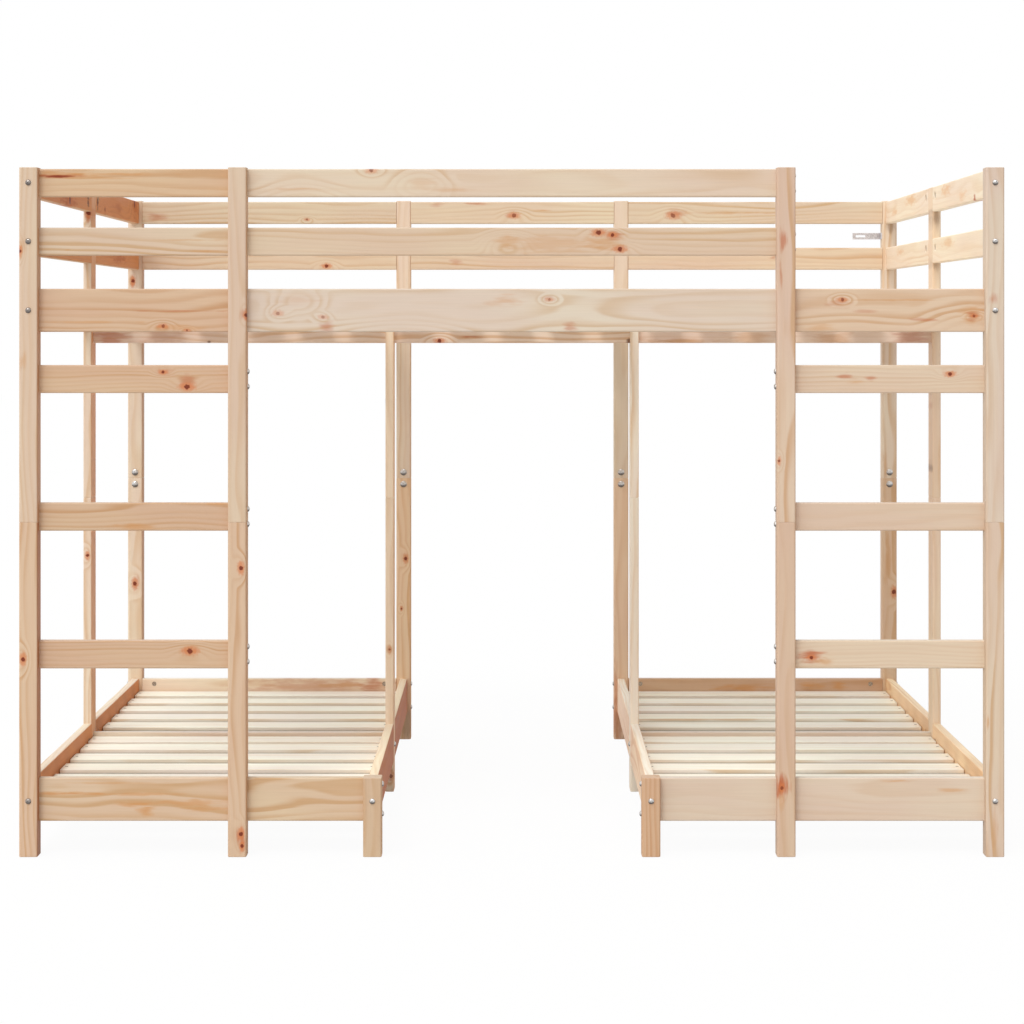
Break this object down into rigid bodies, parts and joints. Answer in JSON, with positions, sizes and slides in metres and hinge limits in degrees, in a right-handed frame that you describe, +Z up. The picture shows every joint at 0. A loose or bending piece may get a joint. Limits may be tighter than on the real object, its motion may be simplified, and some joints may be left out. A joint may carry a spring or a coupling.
{
  "type": "triple bunk bed",
  "caption": "Pine bunk bed with one wide top bed over two narrow beds, an aisle between them and a ladder built into each end of the front.",
  "frame": {"origin": "on the floor below the middle of the bed's outer box", "axes": "+X to the right along the front, +Y from the front to the back, +Z up"},
  "size_m": [2.0776, 1.4976, 1.449],
  "materials": {
    "pine": "matte",
    "pine_slats": "matte",
    "zinc_steel": "satin"
  },
  "bodies": {
    "root": {"back_left_corner_post_lower": "pine", "back_left_corner_post_upper": "pine", "back_left_inner_post_lower": "pine", "back_left_inner_post_upper": "pine", "back_lower_guards": "pine", "back_rails": "pine", "back_right_corner_post_lower": "pine", "back_right_corner_post_upper": "pine", "back_right_inner_post_lower": "pine", "back_right_inner_post_upper": "pine", "back_top_guards": "pine", "barrel_nuts": "zinc_steel", "frame_bolts": "zinc_steel", "front_left_corner_post_lower": "pine", "front_left_corner_post_upper": "pine", "front_left_inner_post_lower": "pine", "front_left_inner_post_upper": "pine", "front_left_lower_guard": "pine", "front_left_rail": "pine", "front_left_top_guard": "pine", "front_middle_lower_guard": "pine", "front_middle_rail": "pine", "front_middle_top_guard": "pine", "front_right_corner_post_lower": "pine", "front_right_corner_post_upper": "pine", "front_right_inner_post_lower": "pine", "front_right_inner_post_upper": "pine", "front_right_rail": "pine", "left_aisle_post": "pine", "left_bed_aisle_side_boards": "pine", "left_bed_back_board": "pine", "left_bed_front_boards": "pine", "left_bed_outer_side_boards": "pine", "left_bed_slats": "pine_slats", "left_foot_post": "pine", "left_ladder_rungs": "pine", "left_middle_post": "pine", "left_side_lower_guards": "pine", "left_side_rails": "pine", "left_side_top_guards": "pine", "lower_cleats": "pine", "lower_middle_beams": "pine", "right_aisle_post": "pine", "right_bed_aisle_side_boards": "pine", "right_bed_back_board": "pine", "right_bed_front_boards": "pine", "right_bed_outer_side_boards": "pine", "right_bed_slats": "pine_slats", "right_foot_post": "pine", "right_ladder_rungs": "pine", "right_middle_post": "pine", "right_side_lower_guards": "pine", "right_side_rails": "pine", "right_side_top_guards": "pine", "rods_and_pins": "zinc_steel", "top_cleats": "pine", "top_middle_beam": "pine", "top_slats": "pine_slats", "wall_strap": "zinc_steel", "wood_screws": "zinc_steel"}
  },
  "joints": []
}
